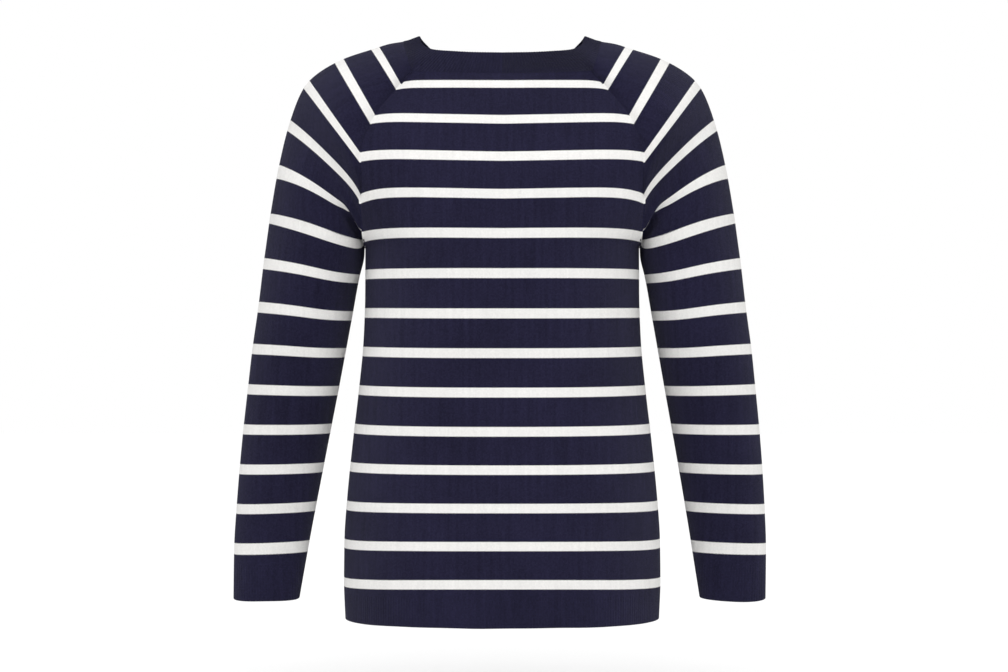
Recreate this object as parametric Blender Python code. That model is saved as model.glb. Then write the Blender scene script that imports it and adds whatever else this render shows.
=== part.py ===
"""A long-sleeved raglan jumper in fine knit, filled out as it is when worn, with nobody in it.

Metres, +Z up. The origin is midway between the two neck points of the shoulders, the back faces -Y
and the wearer's left is at -X. The tables below are in millimetres.
"""

import math
from collections import namedtuple

import bpy
import numpy as np

MM = 0.001
WALL = 2.0
BAND_WALL = 2.2
SEAM_GAP = 0.3
FOLD_ROOM = 0.8
SECTION_ROUNDNESS_ACROSS = 2.4
SECTION_ROUNDNESS_DEEP = 2.1
HALF_RING_REACH = 4.0 / 3.0

# The rows and columns of faces in each piece.
SKIRT_STRIPS = 9
YOKE_STRIPS_PER_STRIPE = 2
PANEL_STRIPS = 18
ARM_STRIPS = 11
HALF_SLEEVE_STRIPS = 9

RIBS = 200
RIB_RAISE = 0.7

NAVY = (0.021, 0.020, 0.042)
NAVY_BAND = (0.019, 0.018, 0.038)
KNIT_ROUGHNESS = 0.92

# Rows are numbered by stripe: 0 is the neckband's seam and 6 the underarm, where the sleeve becomes a tube.
UNDERARM = 6
YOKE_ROWS = np.linspace(0, UNDERARM, UNDERARM * YOKE_STRIPS_PER_STRIPE + 1)
HALF_RING = np.linspace(0, 1, HALF_SLEEVE_STRIPS + 1)
SMOOTH_SEAM_ROWS = 12

# The body below the underarms: half its width, and how far the back and front stand from the side seams.
Girth = namedtuple("Girth", "height half_width back_depth front_depth")
SKIRT = (
    Girth(-630.0, 170.0, 98.0, 103.0),
    Girth(-590.0, 171.5, 98.0, 104.0),
    Girth(-545.0, 171.0, 97.0, 103.0),
    Girth(-500.0, 168.0, 95.0, 101.0),
    Girth(-440.0, 162.0, 92.0, 97.0),
    Girth(-380.0, 155.0, 91.0, 95.0),
    Girth(-330.0, 150.3, 94.0, 96.0),
    Girth(-280.0, 148.5, 98.5, 100.5),
    Girth(-234.0, 148.3, 102.5, 104.5),
)

# Where each stripe meets a raglan seam and how deep its middle is, from the neckband (0) to the underarm (6).
Yoke = namedtuple("Yoke", "stripe seam_x seam_depth seam_height middle_height middle_depth")
BACK_YOKE = (
    Yoke(0, 95.6, 55.0, -42.5, -45.7, 58.0),
    Yoke(1, 110.0, 58.0, -60.0, -57.3, 66.0),
    Yoke(2, 137.0, 70.0, -96.0, -96.5, 84.0),
    Yoke(3, 150.0, 76.0, -137.0, -136.4, 95.0),
    Yoke(4, 150.0, 66.0, -180.5, -176.1, 102.0),
    Yoke(5, 148.0, 40.0, -219.0, -213.0, 103.0),
    Yoke(6, 148.3, 0.0, -229.0, -234.0, 102.5),
)
FRONT_YOKE = (
    Yoke(0, 92.0, 56.0, -41.0, -88.0, 89.0),
    Yoke(1, 108.0, 62.0, -67.0, -103.0, 93.0),
    Yoke(2, 133.0, 72.0, -102.0, -129.0, 98.0),
    Yoke(3, 148.0, 77.0, -142.0, -157.0, 102.0),
    Yoke(4, 149.8, 67.0, -183.0, -184.0, 104.0),
    Yoke(5, 148.0, 40.0, -219.0, -214.0, 104.5),
    Yoke(6, 148.3, 0.0, -229.0, -234.0, 104.5),
)
NECK_CURVE = 2.4

# The sleeve head: where each stripe crosses the shoulder line, how far its curve keeps the direction it has
# at the seam and at the shoulder line, and how it turns out of the seam where the underarm is folded.
Head = namedtuple("Head", "stripe outer_x outer_y outer_z seam_reach outer_reach fold lead_x lead_y lead_z")
SLEEVE_HEAD = (
    Head(0, 107.0, 0.0, -6.0, 18.0, 26.0, 0.0, 0.4, 0.6, 0.7),
    Head(0.5, 122.0, 1.0, -8.3, 22.0, 29.0, 0.0, 0.4, 0.6, 0.7),
    Head(1, 137.7, 2.0, -13.1, 27.0, 32.0, 0.0, 0.4, 0.6, 0.7),
    Head(2, 176.8, 3.0, -26.6, 40.0, 40.0, 0.0, 0.4, 0.5, 0.7),
    Head(3, 212.6, 5.0, -51.8, 48.0, 48.0, 0.15, 0.5, 0.3, 0.8),
    Head(4, 231.8, 6.0, -96.4, 33.0, 56.0, 0.85, 0.3, -0.12, 0.94),
    Head(5, 243.9, 8.0, -147.3, 54.0, 63.0, 1.0, 0.28, -0.38, 0.88),
    Head(6, 253.0, 10.0, -197.6, 66.7, 66.7, 1.0, 0.06, -0.98, 0.12),
)

# The sleeve below the underarm, a ring at each stripe down to the cuff.
Arm = namedtuple("Arm", "stripe outer_x outer_z inner_x inner_z middle_y inner_y half_depth")
SLEEVE_ARM = (
    Arm(6, 253.0, -197.6, 149.2, -230.0, 10.0, 0.0, 50.0),
    Arm(6.3, 255.0, -212.2, 149.8, -238.5, 10.6, 2.4, 50.0),
    Arm(7, 259.8, -246.2, 155.7, -262.7, 12.0, 8.0, 50.0),
    Arm(8, 265.8, -293.6, 163.3, -302.9, 15.0, 14.0, 47.0),
    Arm(9, 272.4, -339.0, 170.8, -343.1, 18.0, 18.0, 42.0),
    Arm(10, 277.5, -382.9, 178.5, -384.5, 21.0, 21.0, 38.0),
    Arm(11, 282.5, -426.8, 186.5, -426.0, 25.0, 25.0, 34.5),
    Arm(12, 286.7, -470.6, 194.6, -468.6, 29.0, 29.0, 31.0),
    Arm(13, 290.1, -514.4, 202.6, -511.3, 33.0, 33.0, 27.0),
    Arm(14, 292.6, -558.3, 210.5, -555.2, 37.0, 37.0, 23.0),
    Arm(15, 293.3, -615.5, 220.3, -614.6, 42.0, 42.0, 19.5),
)

# The open edge of the neckband, from the middle of the back round to the middle of the front.
Edge = namedtuple("Edge", "share x y z")
NECK_EDGE = (
    Edge(0.0, 0.0, -50.0, -23.6),
    Edge(1.0, 28.0, -49.4, -23.1),
    Edge(2.0, 53.0, -46.5, -21.5),
    Edge(3.0, 74.0, -38.0, -18.6),
    Edge(4.0, 85.8, -21.0, -11.0),
    Edge(5.0, 90.2, 0.0, 0.0),
    Edge(6.0, 87.5, 21.0, -2.4),
    Edge(7.0, 79.0, 43.0, -9.5),
    Edge(8.0, 61.0, 61.0, -37.0),
    Edge(9.0, 32.0, 73.5, -58.5),
    Edge(10.0, 0.0, 78.0, -65.0),
)


def smooth(rows, field, at):
    """Values of one column of a table, joined by a curve that doesn't overshoot its rows."""
    x = np.array([row[0] for row in rows], float)
    y = np.array([getattr(row, field) for row in rows], float)
    step = np.diff(x)
    rise = np.diff(y) / step
    slope = np.empty(len(x))
    slope[0], slope[-1] = rise[0], rise[-1]
    for i in range(1, len(x) - 1):
        before, after = rise[i - 1], rise[i]
        slope[i] = 2 * before * after / (before + after) if before * after > 0 else 0.0
    i = np.clip(np.searchsorted(x, at, side="right") - 1, 0, len(x) - 2)
    t = (at - x[i]) / step[i]
    ends = (1 + 2 * t) * (1 - t) ** 2 * y[i] + t * t * (3 - 2 * t) * y[i + 1]
    return ends + step[i] * t * (1 - t) * ((1 - t) * slope[i] - t * slope[i + 1])


def unit(vectors):
    return vectors / np.maximum(np.linalg.norm(vectors, axis=-1, keepdims=True), 1e-9)


def bezier(start, lead_out, lead_in, end, t):
    """Points of a cubic curve from its four control points, at each t."""
    t = t[:, None]
    return (1 - t) ** 3 * start + 3 * t * (1 - t) ** 2 * lead_out + 3 * t * t * (1 - t) * lead_in + t**3 * end


# Body panels


def section(seam_x, seam_depth, middle_depth, strips):
    """Half a level section from the middle to the seam, part of one rounded outline, as (x, depth)."""
    deep = (seam_depth / middle_depth) ** SECTION_ROUNDNESS_DEEP
    whole_x = seam_x / (1 - deep) ** (1 / SECTION_ROUNDNESS_ACROSS)
    last = math.asin((seam_x / whole_x) ** (SECTION_ROUNDNESS_ACROSS / 2))
    angle = np.linspace(0, last, strips + 1)
    x = whole_x * np.sin(angle) ** (2 / SECTION_ROUNDNESS_ACROSS)
    depth = middle_depth * np.maximum(np.cos(angle), 0) ** (2 / SECTION_ROUNDNESS_DEEP)
    return x, depth


def panel_row(seam_x, seam_depth, seam_height, middle_height, middle_depth):
    """One row of a panel's points from its -X seam to its +X seam, with depth as y."""
    x, depth = section(seam_x, seam_depth, middle_depth, PANEL_STRIPS // 2)
    depth = np.maximum(depth, SEAM_GAP / 2)
    height = middle_height + (seam_height - middle_height) * (x / seam_x) ** NECK_CURVE
    half = np.stack([x, depth, height], axis=1)
    return np.concatenate([half[:0:-1] * (-1, 1, 1), half])


def panel(yoke, depth_field):
    """A panel's points, a row at a time from the neckband down to the hem, from -X to +X, with depth as y."""
    rows = [
        panel_row(*(smooth(yoke, field, stripe) for field in Yoke._fields[1:]))
        for stripe in YOKE_ROWS
    ]
    for height in np.linspace(SKIRT[-1].height, SKIRT[0].height, SKIRT_STRIPS + 1)[1:]:
        half_width = smooth(SKIRT, "half_width", height)
        rows.append(panel_row(half_width, 0.0, height, height, smooth(SKIRT, depth_field, height)))
    return np.array(rows)


# Sleeves


def seam_points(yoke, facing):
    """A raglan seam's points at +X, from the neckband down to just above the underarm."""
    columns = [smooth(yoke, field, YOKE_ROWS[:-1]) for field in ("seam_x", "seam_depth", "seam_height")]
    return np.stack(columns, axis=1) * (1, facing, 1)


def head_leads(across, normals, facing):
    """The direction in which each course leaves its raglan seam: on from the panel, or out of the fold."""
    deep = np.array((0.0, 1.0, 0.0))
    on = unit(deep * (normals * across).sum(1)[:, None] - across * (normals * deep).sum(1)[:, None])
    on = on * np.sign((on * across).sum(1))[:, None]
    stripes = YOKE_ROWS[:-1]
    lead = np.stack([smooth(SLEEVE_HEAD, "lead_" + axis, stripes) for axis in "xyz"], axis=1)
    fold = smooth(SLEEVE_HEAD, "fold", stripes)[:, None]
    return unit((1 - fold) * on + fold * unit(lead * (1, -facing, 1))), fold


def half_head(yoke, normals, facing):
    """The courses of the sleeve head on one side, from the raglan seam to the shoulder line."""
    stripes = YOKE_ROWS[:-1]
    seam = seam_points(yoke, facing)
    outer = np.stack([smooth(SLEEVE_HEAD, "outer_" + axis, stripes) for axis in "xyz"], axis=1)
    leads, fold = head_leads(unit((outer - seam) * (1, 0, 1)), normals, facing)
    first = seam + (SEAM_GAP + FOLD_ROOM * fold) * unit(leads + fold * normals)
    near = smooth(SLEEVE_HEAD, "seam_reach", stripes)[:, None]
    far = smooth(SLEEVE_HEAD, "outer_reach", stripes)[:, None]
    deep = np.array((0.0, facing, 0.0))
    return [
        bezier(*points, HALF_RING)
        for points in zip(first, first + near * leads, outer + far * deep, outer)
    ]


def half_arm(facing):
    """The courses of the sleeve from the underarm down on one side, from its inner line to its outer line."""
    rows = []
    for stripe in np.linspace(UNDERARM, SLEEVE_ARM[-1].stripe, ARM_STRIPS + 1):
        at = {field: smooth(SLEEVE_ARM, field, stripe) for field in Arm._fields}
        inner = np.array((at["inner_x"], at["inner_y"], at["inner_z"]))
        outer = np.array((at["outer_x"], at["middle_y"], at["outer_z"]))
        deep = np.array((0.0, facing * HALF_RING_REACH * at["half_depth"], 0.0))
        rows.append(bezier(inner, inner + deep, outer + deep, outer, HALF_RING))
    return rows


def sleeve(back_normals, front_normals):
    """The outer points of the sleeve at +X, a course at a time from the neckband to the cuff."""
    back = np.array(half_head(BACK_YOKE, back_normals, -1) + half_arm(-1))
    front = np.array(half_head(FRONT_YOKE, front_normals, 1) + half_arm(1))
    return np.concatenate([back, front[:, -2::-1]], axis=1)


# Neckband


def spread(points, values):
    """The values at a line of points, taken evenly along it, one for each of the neckband's half columns."""
    length = np.concatenate([[0], np.cumsum(np.linalg.norm(np.diff(points, axis=0), axis=1))])
    at = np.linspace(0, length[-1], RIBS + 1)
    return np.stack([np.interp(at, length, values[:, k]) for k in range(3)], axis=1)


def neck_seam(back, sleeve_right, front):
    """What the upper rows of the pieces hold, from the middle of the back round to the middle of the front."""
    middle = PANEL_STRIPS // 2
    return np.concatenate([back[0, middle:], sleeve_right[0], front[0, middle:][::-1]])


def all_round(half):
    """Columns from the middle of the back round to the middle of the front, and back on the other side."""
    return np.concatenate([half, half[-2:0:-1] * (-1, 1, 1)])


def neckband(seam, seam_normals):
    """The neckband's outer and inner points, upper row first, with every other column raised as a rib."""
    at = np.linspace(0, NECK_EDGE[-1].share, 121)
    edge = np.stack([smooth(NECK_EDGE, axis, at) for axis in "xyz"], axis=1)
    high = all_round(spread(edge, edge))
    low = all_round(spread(seam, seam))
    rise = unit(high - low)
    around = np.roll(low, -3, axis=0) - np.roll(low, 3, axis=0)
    outward = np.stack([unit(np.cross(around, rise)), unit(all_round(spread(seam, seam_normals)))])
    plain = np.stack([high, low + SEAM_GAP * rise])
    rib = (np.arange(len(low)) % 2)[:, None] * RIB_RAISE
    sides = plain + rib * outward, plain - BAND_WALL * outward
    return [np.concatenate([side, side[:, :1]], axis=1) for side in sides]


# Solids


def grid_normals(points, rings_from):
    """Outward normals of a grid of points. Its rows are rings from rings_from on."""
    across = np.gradient(points, axis=1, edge_order=2)
    joined = (points[rings_from:, 1] - points[rings_from:, -2]) / 2
    across[rings_from:, 0] = joined
    across[rings_from:, -1] = joined
    normals = unit(np.cross(np.gradient(points, axis=0, edge_order=2), across))
    joined = unit(normals[rings_from:, 0] + normals[rings_from:, -1])
    normals[rings_from:, 0] = joined
    normals[rings_from:, -1] = joined
    return normals


def share_seam(panel_normals, sleeve_normals):
    """Gives a panel's edge and a sleeve's the same normals, down to where the seam lies in a fold."""
    rows = SMOOTH_SEAM_ROWS
    both = unit(panel_normals[:rows] + sleeve_normals[:rows])
    panel_normals[:rows] = both
    sleeve_normals[:rows] = both
    panel_normals[len(YOKE_ROWS) - 1 :] = (1.0, 0.0, 0.0)


def mirrored(grid):
    """A grid of points or normals on the other side of the jumper."""
    return grid[:, ::-1] * (-1, 1, 1)


def even_sides(normals):
    """The normals of a panel whose -X half is the mirror image of its +X half, which ends at its last column."""
    middle = PANEL_STRIPS // 2
    normals[:, :middle] = mirrored(normals)[:, :middle]
    return normals


def colour(name, base):
    material = bpy.data.materials.new(name)
    material.use_nodes = True
    shader = material.node_tree.nodes["Principled BSDF"]
    shader.inputs["Base Color"].default_value = (*base, 1.0)
    shader.inputs["Roughness"].default_value = KNIT_ROUGHNESS
    shader.inputs["Metallic"].default_value = 0.0
    return material


def add_wall(collection, name, outer, inner, rings_from, base):
    """The solid between two grids of points. Rows are rings from rings_from on, and open strips before it."""
    rows, columns = outer.shape[:2]
    index = np.arange(rows * columns).reshape(rows, columns)
    index[rings_from:, -1] = index[rings_from:, 0]
    kept, index = np.unique(index, return_inverse=True)
    index = index.reshape(rows, columns)
    quads = np.stack([index[:-1, :-1], index[1:, :-1], index[1:, 1:], index[:-1, 1:]], axis=-1)
    faces = [tuple(int(corner) for corner in quad) for quad in quads.reshape(-1, 4)]
    edges = {(face[k - 1], face[k]) for face in faces for k in range(4)}
    count = len(kept)
    inside = [tuple(corner + count for corner in face[::-1]) for face in faces]
    rim = [(b, a, a + count, b + count) for a, b in sorted(edges) if (b, a) not in edges]
    points = np.concatenate([outer.reshape(-1, 3)[kept], inner.reshape(-1, 3)[kept]]) * MM
    mesh = bpy.data.meshes.new(name)
    mesh.from_pydata(points.tolist(), [], faces + inside + rim)
    mesh.shade_smooth()
    mesh.materials.append(colour(name + "_knit", base))
    collection.objects.link(bpy.data.objects.new(name, mesh))


def main():
    for stray in list(bpy.data.objects):
        bpy.data.objects.remove(stray)
    jumper = bpy.data.collections.new("striped_jumper")
    bpy.context.scene.collection.children.link(jumper)

    back = panel(BACK_YOKE, "back_depth") * (1, -1, 1)
    front = panel(FRONT_YOKE, "front_depth")
    head_rows = len(YOKE_ROWS) - 1
    back_normals = grid_normals(back, len(back))
    front_normals = -grid_normals(front, len(front))
    right = sleeve(back_normals[:head_rows, -1], front_normals[:head_rows, -1])
    right_normals = grid_normals(right, head_rows)
    share_seam(back_normals[:, -1], right_normals[:, 0])
    share_seam(front_normals[:, -1], right_normals[:, -1])
    back_inner = back - WALL * even_sides(back_normals)
    front_inner = front - WALL * even_sides(front_normals)
    right_inner = right - WALL * right_normals

    add_wall(jumper, "back_panel", back, back_inner, len(back), NAVY)
    add_wall(jumper, "front_panel", front[:, ::-1], front_inner[:, ::-1], len(front), NAVY)
    add_wall(jumper, "sleeve_right", right, right_inner, head_rows, NAVY)
    add_wall(jumper, "sleeve_left", mirrored(right), mirrored(right_inner), head_rows, NAVY)
    seam, seam_normals = neck_seam(back, right, front), neck_seam(back_normals, right_normals, front_normals)
    add_wall(jumper, "neckband", *neckband(seam, seam_normals), 0, NAVY_BAND)


main()
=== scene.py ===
"""A long-sleeved raglan jumper in fine navy knit with narrow off-white stripes, as it looks.

The pieces are thin shells on the solids' form, in the same frame: metres, +Z up, the origin midway between
the neck points, the back at -Y and the wearer's left at -X. Tables and sizes are in millimetres.
"""

import logging
import math
from dataclasses import dataclass, field
from enum import Enum
from typing import NamedTuple, Sequence

import bpy
import numpy as np
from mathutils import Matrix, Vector


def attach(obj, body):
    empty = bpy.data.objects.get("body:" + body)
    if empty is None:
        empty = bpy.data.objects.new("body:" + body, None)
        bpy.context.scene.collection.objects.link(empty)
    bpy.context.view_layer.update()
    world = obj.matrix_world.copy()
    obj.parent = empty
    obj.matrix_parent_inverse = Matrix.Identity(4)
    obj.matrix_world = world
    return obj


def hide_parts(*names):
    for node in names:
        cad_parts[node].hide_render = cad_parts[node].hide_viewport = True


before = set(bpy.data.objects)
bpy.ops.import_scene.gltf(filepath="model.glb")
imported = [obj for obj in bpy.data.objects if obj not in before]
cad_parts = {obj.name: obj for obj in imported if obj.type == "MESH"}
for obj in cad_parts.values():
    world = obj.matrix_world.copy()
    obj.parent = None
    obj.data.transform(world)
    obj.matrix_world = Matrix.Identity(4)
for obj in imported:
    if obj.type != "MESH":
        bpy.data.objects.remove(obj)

LOG = logging.getLogger("jumper")
MM = 0.001

Array = np.ndarray


class Side(Enum):
    """Which side of the jumper a panel is on, as the sign of its y."""

    BACK = -1
    FRONT = 1


class Arm(Enum):
    """Which arm a sleeve is for, as the sign of its x."""

    LEFT = -1
    RIGHT = 1


class Girth(NamedTuple):
    """A level section of the body below the underarms."""

    height: float
    half_width: float
    back_depth: float
    front_depth: float


class Yoke(NamedTuple):
    """A row of a panel above the underarms, numbered from the neckband's seam (0) to the underarm (6)."""

    row: float
    seam_x: float
    seam_depth: float
    seam_height: float
    middle_height: float
    middle_depth: float


class Head(NamedTuple):
    """A course of the sleeve head, numbered by stripe as the yoke's rows are."""

    row: float
    outer_x: float
    outer_y: float
    outer_z: float
    seam_reach: float
    outer_reach: float
    fold: float
    lead_x: float
    lead_y: float
    lead_z: float


class Ring(NamedTuple):
    """A course of the sleeve below the underarm, numbered by stripe."""

    row: float
    outer_x: float
    outer_z: float
    inner_x: float
    inner_z: float
    middle_y: float
    inner_y: float
    half_depth: float


class Edge(NamedTuple):
    """A point of the neckband's open edge, from the middle of the back (0) to the middle of the front (10)."""

    share: float
    x: float
    y: float
    z: float


class Stripe(NamedTuple):
    """A white stripe on the body: its height in the middle and at the side, how tall it is, and how it bends.

    It rises evenly towards the side, and the larger its curve is, the nearer the side it bends down or up.
    """

    number: float
    middle: float
    side: float
    white: float
    rise: float
    curve: float


SKIRT = (
    Girth(-630.0, 170.0, 98.0, 103.0),
    Girth(-590.0, 171.5, 98.0, 104.0),
    Girth(-545.0, 171.0, 97.0, 103.0),
    Girth(-500.0, 168.0, 95.0, 101.0),
    Girth(-440.0, 162.0, 92.0, 97.0),
    Girth(-380.0, 155.0, 91.0, 95.0),
    Girth(-330.0, 150.3, 94.0, 96.0),
    Girth(-280.0, 148.5, 98.5, 100.5),
    Girth(-234.0, 148.3, 102.5, 104.5),
)
BACK_YOKE = (
    Yoke(0, 95.6, 55.0, -42.5, -45.7, 58.0),
    Yoke(1, 110.0, 58.0, -60.0, -57.3, 66.0),
    Yoke(2, 137.0, 70.0, -96.0, -96.5, 84.0),
    Yoke(3, 150.0, 76.0, -137.0, -136.4, 95.0),
    Yoke(4, 150.0, 66.0, -180.5, -176.1, 102.0),
    Yoke(5, 148.0, 40.0, -219.0, -213.0, 103.0),
    Yoke(6, 148.3, 0.0, -229.0, -234.0, 102.5),
)
FRONT_YOKE = (
    Yoke(0, 92.0, 56.0, -41.0, -88.0, 89.0),
    Yoke(1, 108.0, 62.0, -67.0, -103.0, 93.0),
    Yoke(2, 133.0, 72.0, -102.0, -129.0, 98.0),
    Yoke(3, 148.0, 77.0, -142.0, -157.0, 102.0),
    Yoke(4, 149.8, 67.0, -183.0, -184.0, 104.0),
    Yoke(5, 148.0, 40.0, -219.0, -214.0, 104.5),
    Yoke(6, 148.3, 0.0, -229.0, -234.0, 104.5),
)
SLEEVE_HEAD = (
    Head(0, 107.0, 0.0, -6.0, 18.0, 26.0, 0.0, 0.4, 0.6, 0.7),
    Head(0.5, 122.0, 1.0, -8.3, 22.0, 29.0, 0.0, 0.4, 0.6, 0.7),
    Head(1, 137.7, 2.0, -13.1, 27.0, 32.0, 0.0, 0.4, 0.6, 0.7),
    Head(2, 176.8, 3.0, -26.6, 40.0, 40.0, 0.0, 0.4, 0.5, 0.7),
    Head(3, 212.6, 5.0, -51.8, 48.0, 48.0, 0.15, 0.5, 0.3, 0.8),
    Head(4, 231.8, 6.0, -96.4, 33.0, 56.0, 0.8, 0.3, 0.08, 0.94),
    Head(5, 243.9, 8.0, -147.3, 50.0, 78.0, 1.0, 0.28, -0.38, 0.88),
    Head(6, 253.0, 10.0, -197.6, 66.7, 66.7, 1.0, 0.06, -0.98, 0.12),
)
SLEEVE_ARM = (
    Ring(6, 253.0, -197.6, 149.2, -230.0, 10.0, 0.0, 50.0),
    Ring(6.3, 255.0, -212.2, 149.8, -238.5, 10.6, 2.4, 50.0),
    Ring(7, 259.8, -246.2, 155.7, -262.7, 12.0, 8.0, 50.0),
    Ring(8, 265.8, -293.6, 163.3, -302.9, 15.0, 14.0, 47.0),
    Ring(9, 272.4, -339.0, 170.8, -343.1, 18.0, 18.0, 42.0),
    Ring(10, 277.5, -382.9, 178.5, -384.5, 21.0, 21.0, 38.0),
    Ring(11, 282.5, -426.8, 186.5, -426.0, 25.0, 25.0, 34.5),
    Ring(12, 286.7, -470.6, 194.6, -468.6, 29.0, 29.0, 31.0),
    Ring(13, 290.1, -514.4, 202.6, -511.3, 33.0, 33.0, 27.0),
    Ring(14, 292.6, -558.3, 210.5, -555.2, 37.0, 37.0, 23.0),
    Ring(15, 293.3, -615.5, 220.3, -614.6, 42.0, 42.0, 19.5),
)
NECK_EDGE = (
    Edge(0.0, 0.0, -50.0, -23.6),
    Edge(1.0, 28.0, -49.4, -23.1),
    Edge(2.0, 53.0, -46.5, -21.5),
    Edge(3.0, 74.0, -38.0, -18.6),
    Edge(4.0, 85.8, -21.0, -11.0),
    Edge(5.0, 90.2, 0.0, 0.0),
    Edge(6.0, 87.5, 21.0, -2.4),
    Edge(7.0, 79.0, 43.0, -9.5),
    Edge(8.0, 61.0, 61.0, -37.0),
    Edge(9.0, 32.0, 73.5, -58.5),
    Edge(10.0, 0.0, 78.0, -65.0),
)
BACK_STRIPES = (
    Stripe(1, -58.5, -60.2, 8.1, 0.8, 16.0),
    Stripe(2, -97.5, -96.8, 8.9, 3.8, 12.0),
    Stripe(3, -137.0, -136.6, 9.5, 4.0, 9.0),
    Stripe(4, -176.6, -180.2, 9.6, 3.8, 9.0),
    Stripe(5, -217.7, -219.0, 10.0, 2.0, 8.0),
    Stripe(6, -259.4, -258.8, 9.9, 0.6, 3.0),
    Stripe(7, -301.4, -300.2, 10.0, 0.0, 3.0),
    Stripe(8, -343.0, -341.6, 9.8, 0.0, 3.0),
    Stripe(9, -384.3, -383.2, 9.9, 0.0, 3.0),
    Stripe(10, -425.3, -424.7, 9.8, 0.0, 3.0),
    Stripe(11, -465.4, -465.9, 9.5, 0.0, 3.0),
    Stripe(12, -505.4, -507.6, 9.5, 0.0, 2.4),
    Stripe(13, -545.0, -548.7, 9.2, 0.0, 2.4),
    Stripe(14, -584.8, -590.3, 9.4, 0.0, 2.4),
)
FRONT_STRIPES = (
    Stripe(1, -68.0, -67.0, 9.0, 0.0, 3.0),
    Stripe(2, -104.5, -102.5, 9.5, 0.0, 3.0),
    Stripe(3, -143.5, -142.5, 9.9, 0.0, 3.0),
    Stripe(4, -181.0, -183.0, 10.0, 0.0, 6.0),
    Stripe(5, -218.5, -219.5, 10.3, 0.0, 6.0),
) + BACK_STRIPES[5:]

UNDERARM = 6
NECK_CURVE = 2.4
SECTION_ROUNDNESS_ACROSS = 2.4
SECTION_ROUNDNESS_DEEP = 2.1
HALF_RING_REACH = 4.0 / 3.0
SEAM_ROOM = 0.02
FOLD_ROOM = 0.5
STRIPE_PITCH = 41.0
WHITE_SHARE = 0.13
LAST_COURSE = 15
HEM_BORDER = 38.0
KNIT_MAP = "Knit"

YOKE_STRIPS = 96
SKIRT_STRIPS = 100
ARM_STRIPS = 114
HALF_PANEL_STRIPS = 70
HALF_SLEEVE_STRIPS = 50


def smooth(rows: Sequence[NamedTuple], name: str, at: Array | float) -> Array:
    """Reads one column of a table along a curve that doesn't overshoot its rows.

    Args:
        rows: The table. Its first column says where each row is.
        name: The column to read.
        at: Where to read it.

    Returns:
        The column's values there.
    """
    x = np.array([row[0] for row in rows], float)
    y = np.array([getattr(row, name) for row in rows], float)
    step = np.diff(x)
    rise = np.diff(y) / step
    slope = np.empty(len(x))
    slope[0], slope[-1] = rise[0], rise[-1]
    product = rise[:-1] * rise[1:]
    total = np.where(product > 0, rise[:-1] + rise[1:], 1.0)
    slope[1:-1] = np.where(product > 0, 2 * product / total, 0.0)
    i = np.clip(np.searchsorted(x, at, side="right") - 1, 0, len(x) - 2)
    t = (at - x[i]) / step[i]
    ends = (1 + 2 * t) * (1 - t) ** 2 * y[i] + t * t * (3 - 2 * t) * y[i + 1]
    return ends + step[i] * t * (1 - t) * ((1 - t) * slope[i] - t * slope[i + 1])


def unit(vectors: Array) -> Array:
    """Vectors of length one in the same directions."""
    return vectors / np.maximum(np.linalg.norm(vectors, axis=-1, keepdims=True), 1e-9)


def lengths_along(points: Array, axis: int = 0) -> Array:
    """How far along its line of points each point is, from the first one."""
    steps = np.linalg.norm(np.diff(points, axis=axis), axis=-1)
    total = np.cumsum(steps, axis=axis)
    start = np.zeros_like(np.take(total, [0], axis=axis))
    return np.concatenate([start, total], axis=axis)


def cubic(start: Array, lead_out: Array, lead_in: Array, end: Array, places: Array) -> Array:
    """Rows of points on cubic curves, one curve for each row of the four control points."""
    t = places[None, :, None]
    start, lead_out, lead_in, end = (value[:, None, :] for value in (start, lead_out, lead_in, end))
    return (1 - t) ** 3 * start + 3 * t * (1 - t) ** 2 * lead_out + 3 * t * t * (1 - t) * lead_in + t**3 * end


def eased(values: Array) -> Array:
    """0 below 0 and 1 above 1, with a smooth step between."""
    t = np.clip(values, 0.0, 1.0)
    return t * t * (3 - 2 * t)


@dataclass(frozen=True)
class Crease:
    """A soft trough in the cloth, or a ridge where its depth is negative.

    Args:
        start: One end, in the piece's own two coordinates.
        end: The other end.
        width: Half the width over which it shows, in the same coordinates.
        depth: How far its line lies below the cloth, in millimetres.
    """

    start: tuple[float, float]
    end: tuple[float, float]
    width: float
    depth: float

    def sunk(self, a: Array, b: Array) -> Array:
        """How far each point lies below the plain cloth."""
        ends = np.array(self.end) - np.array(self.start)
        length = max(float(np.hypot(*ends)), 1e-6)
        along = ((a - self.start[0]) * ends[0] + (b - self.start[1]) * ends[1]) / length**2
        nearest = np.clip(along, 0.0, 1.0)
        off = np.hypot(a - self.start[0] - nearest * ends[0], b - self.start[1] - nearest * ends[1])
        taper = np.sin(np.pi * np.clip(nearest, 0.04, 0.96)) ** 0.7
        return self.depth * taper * np.exp(-((off / self.width) ** 2))


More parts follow.
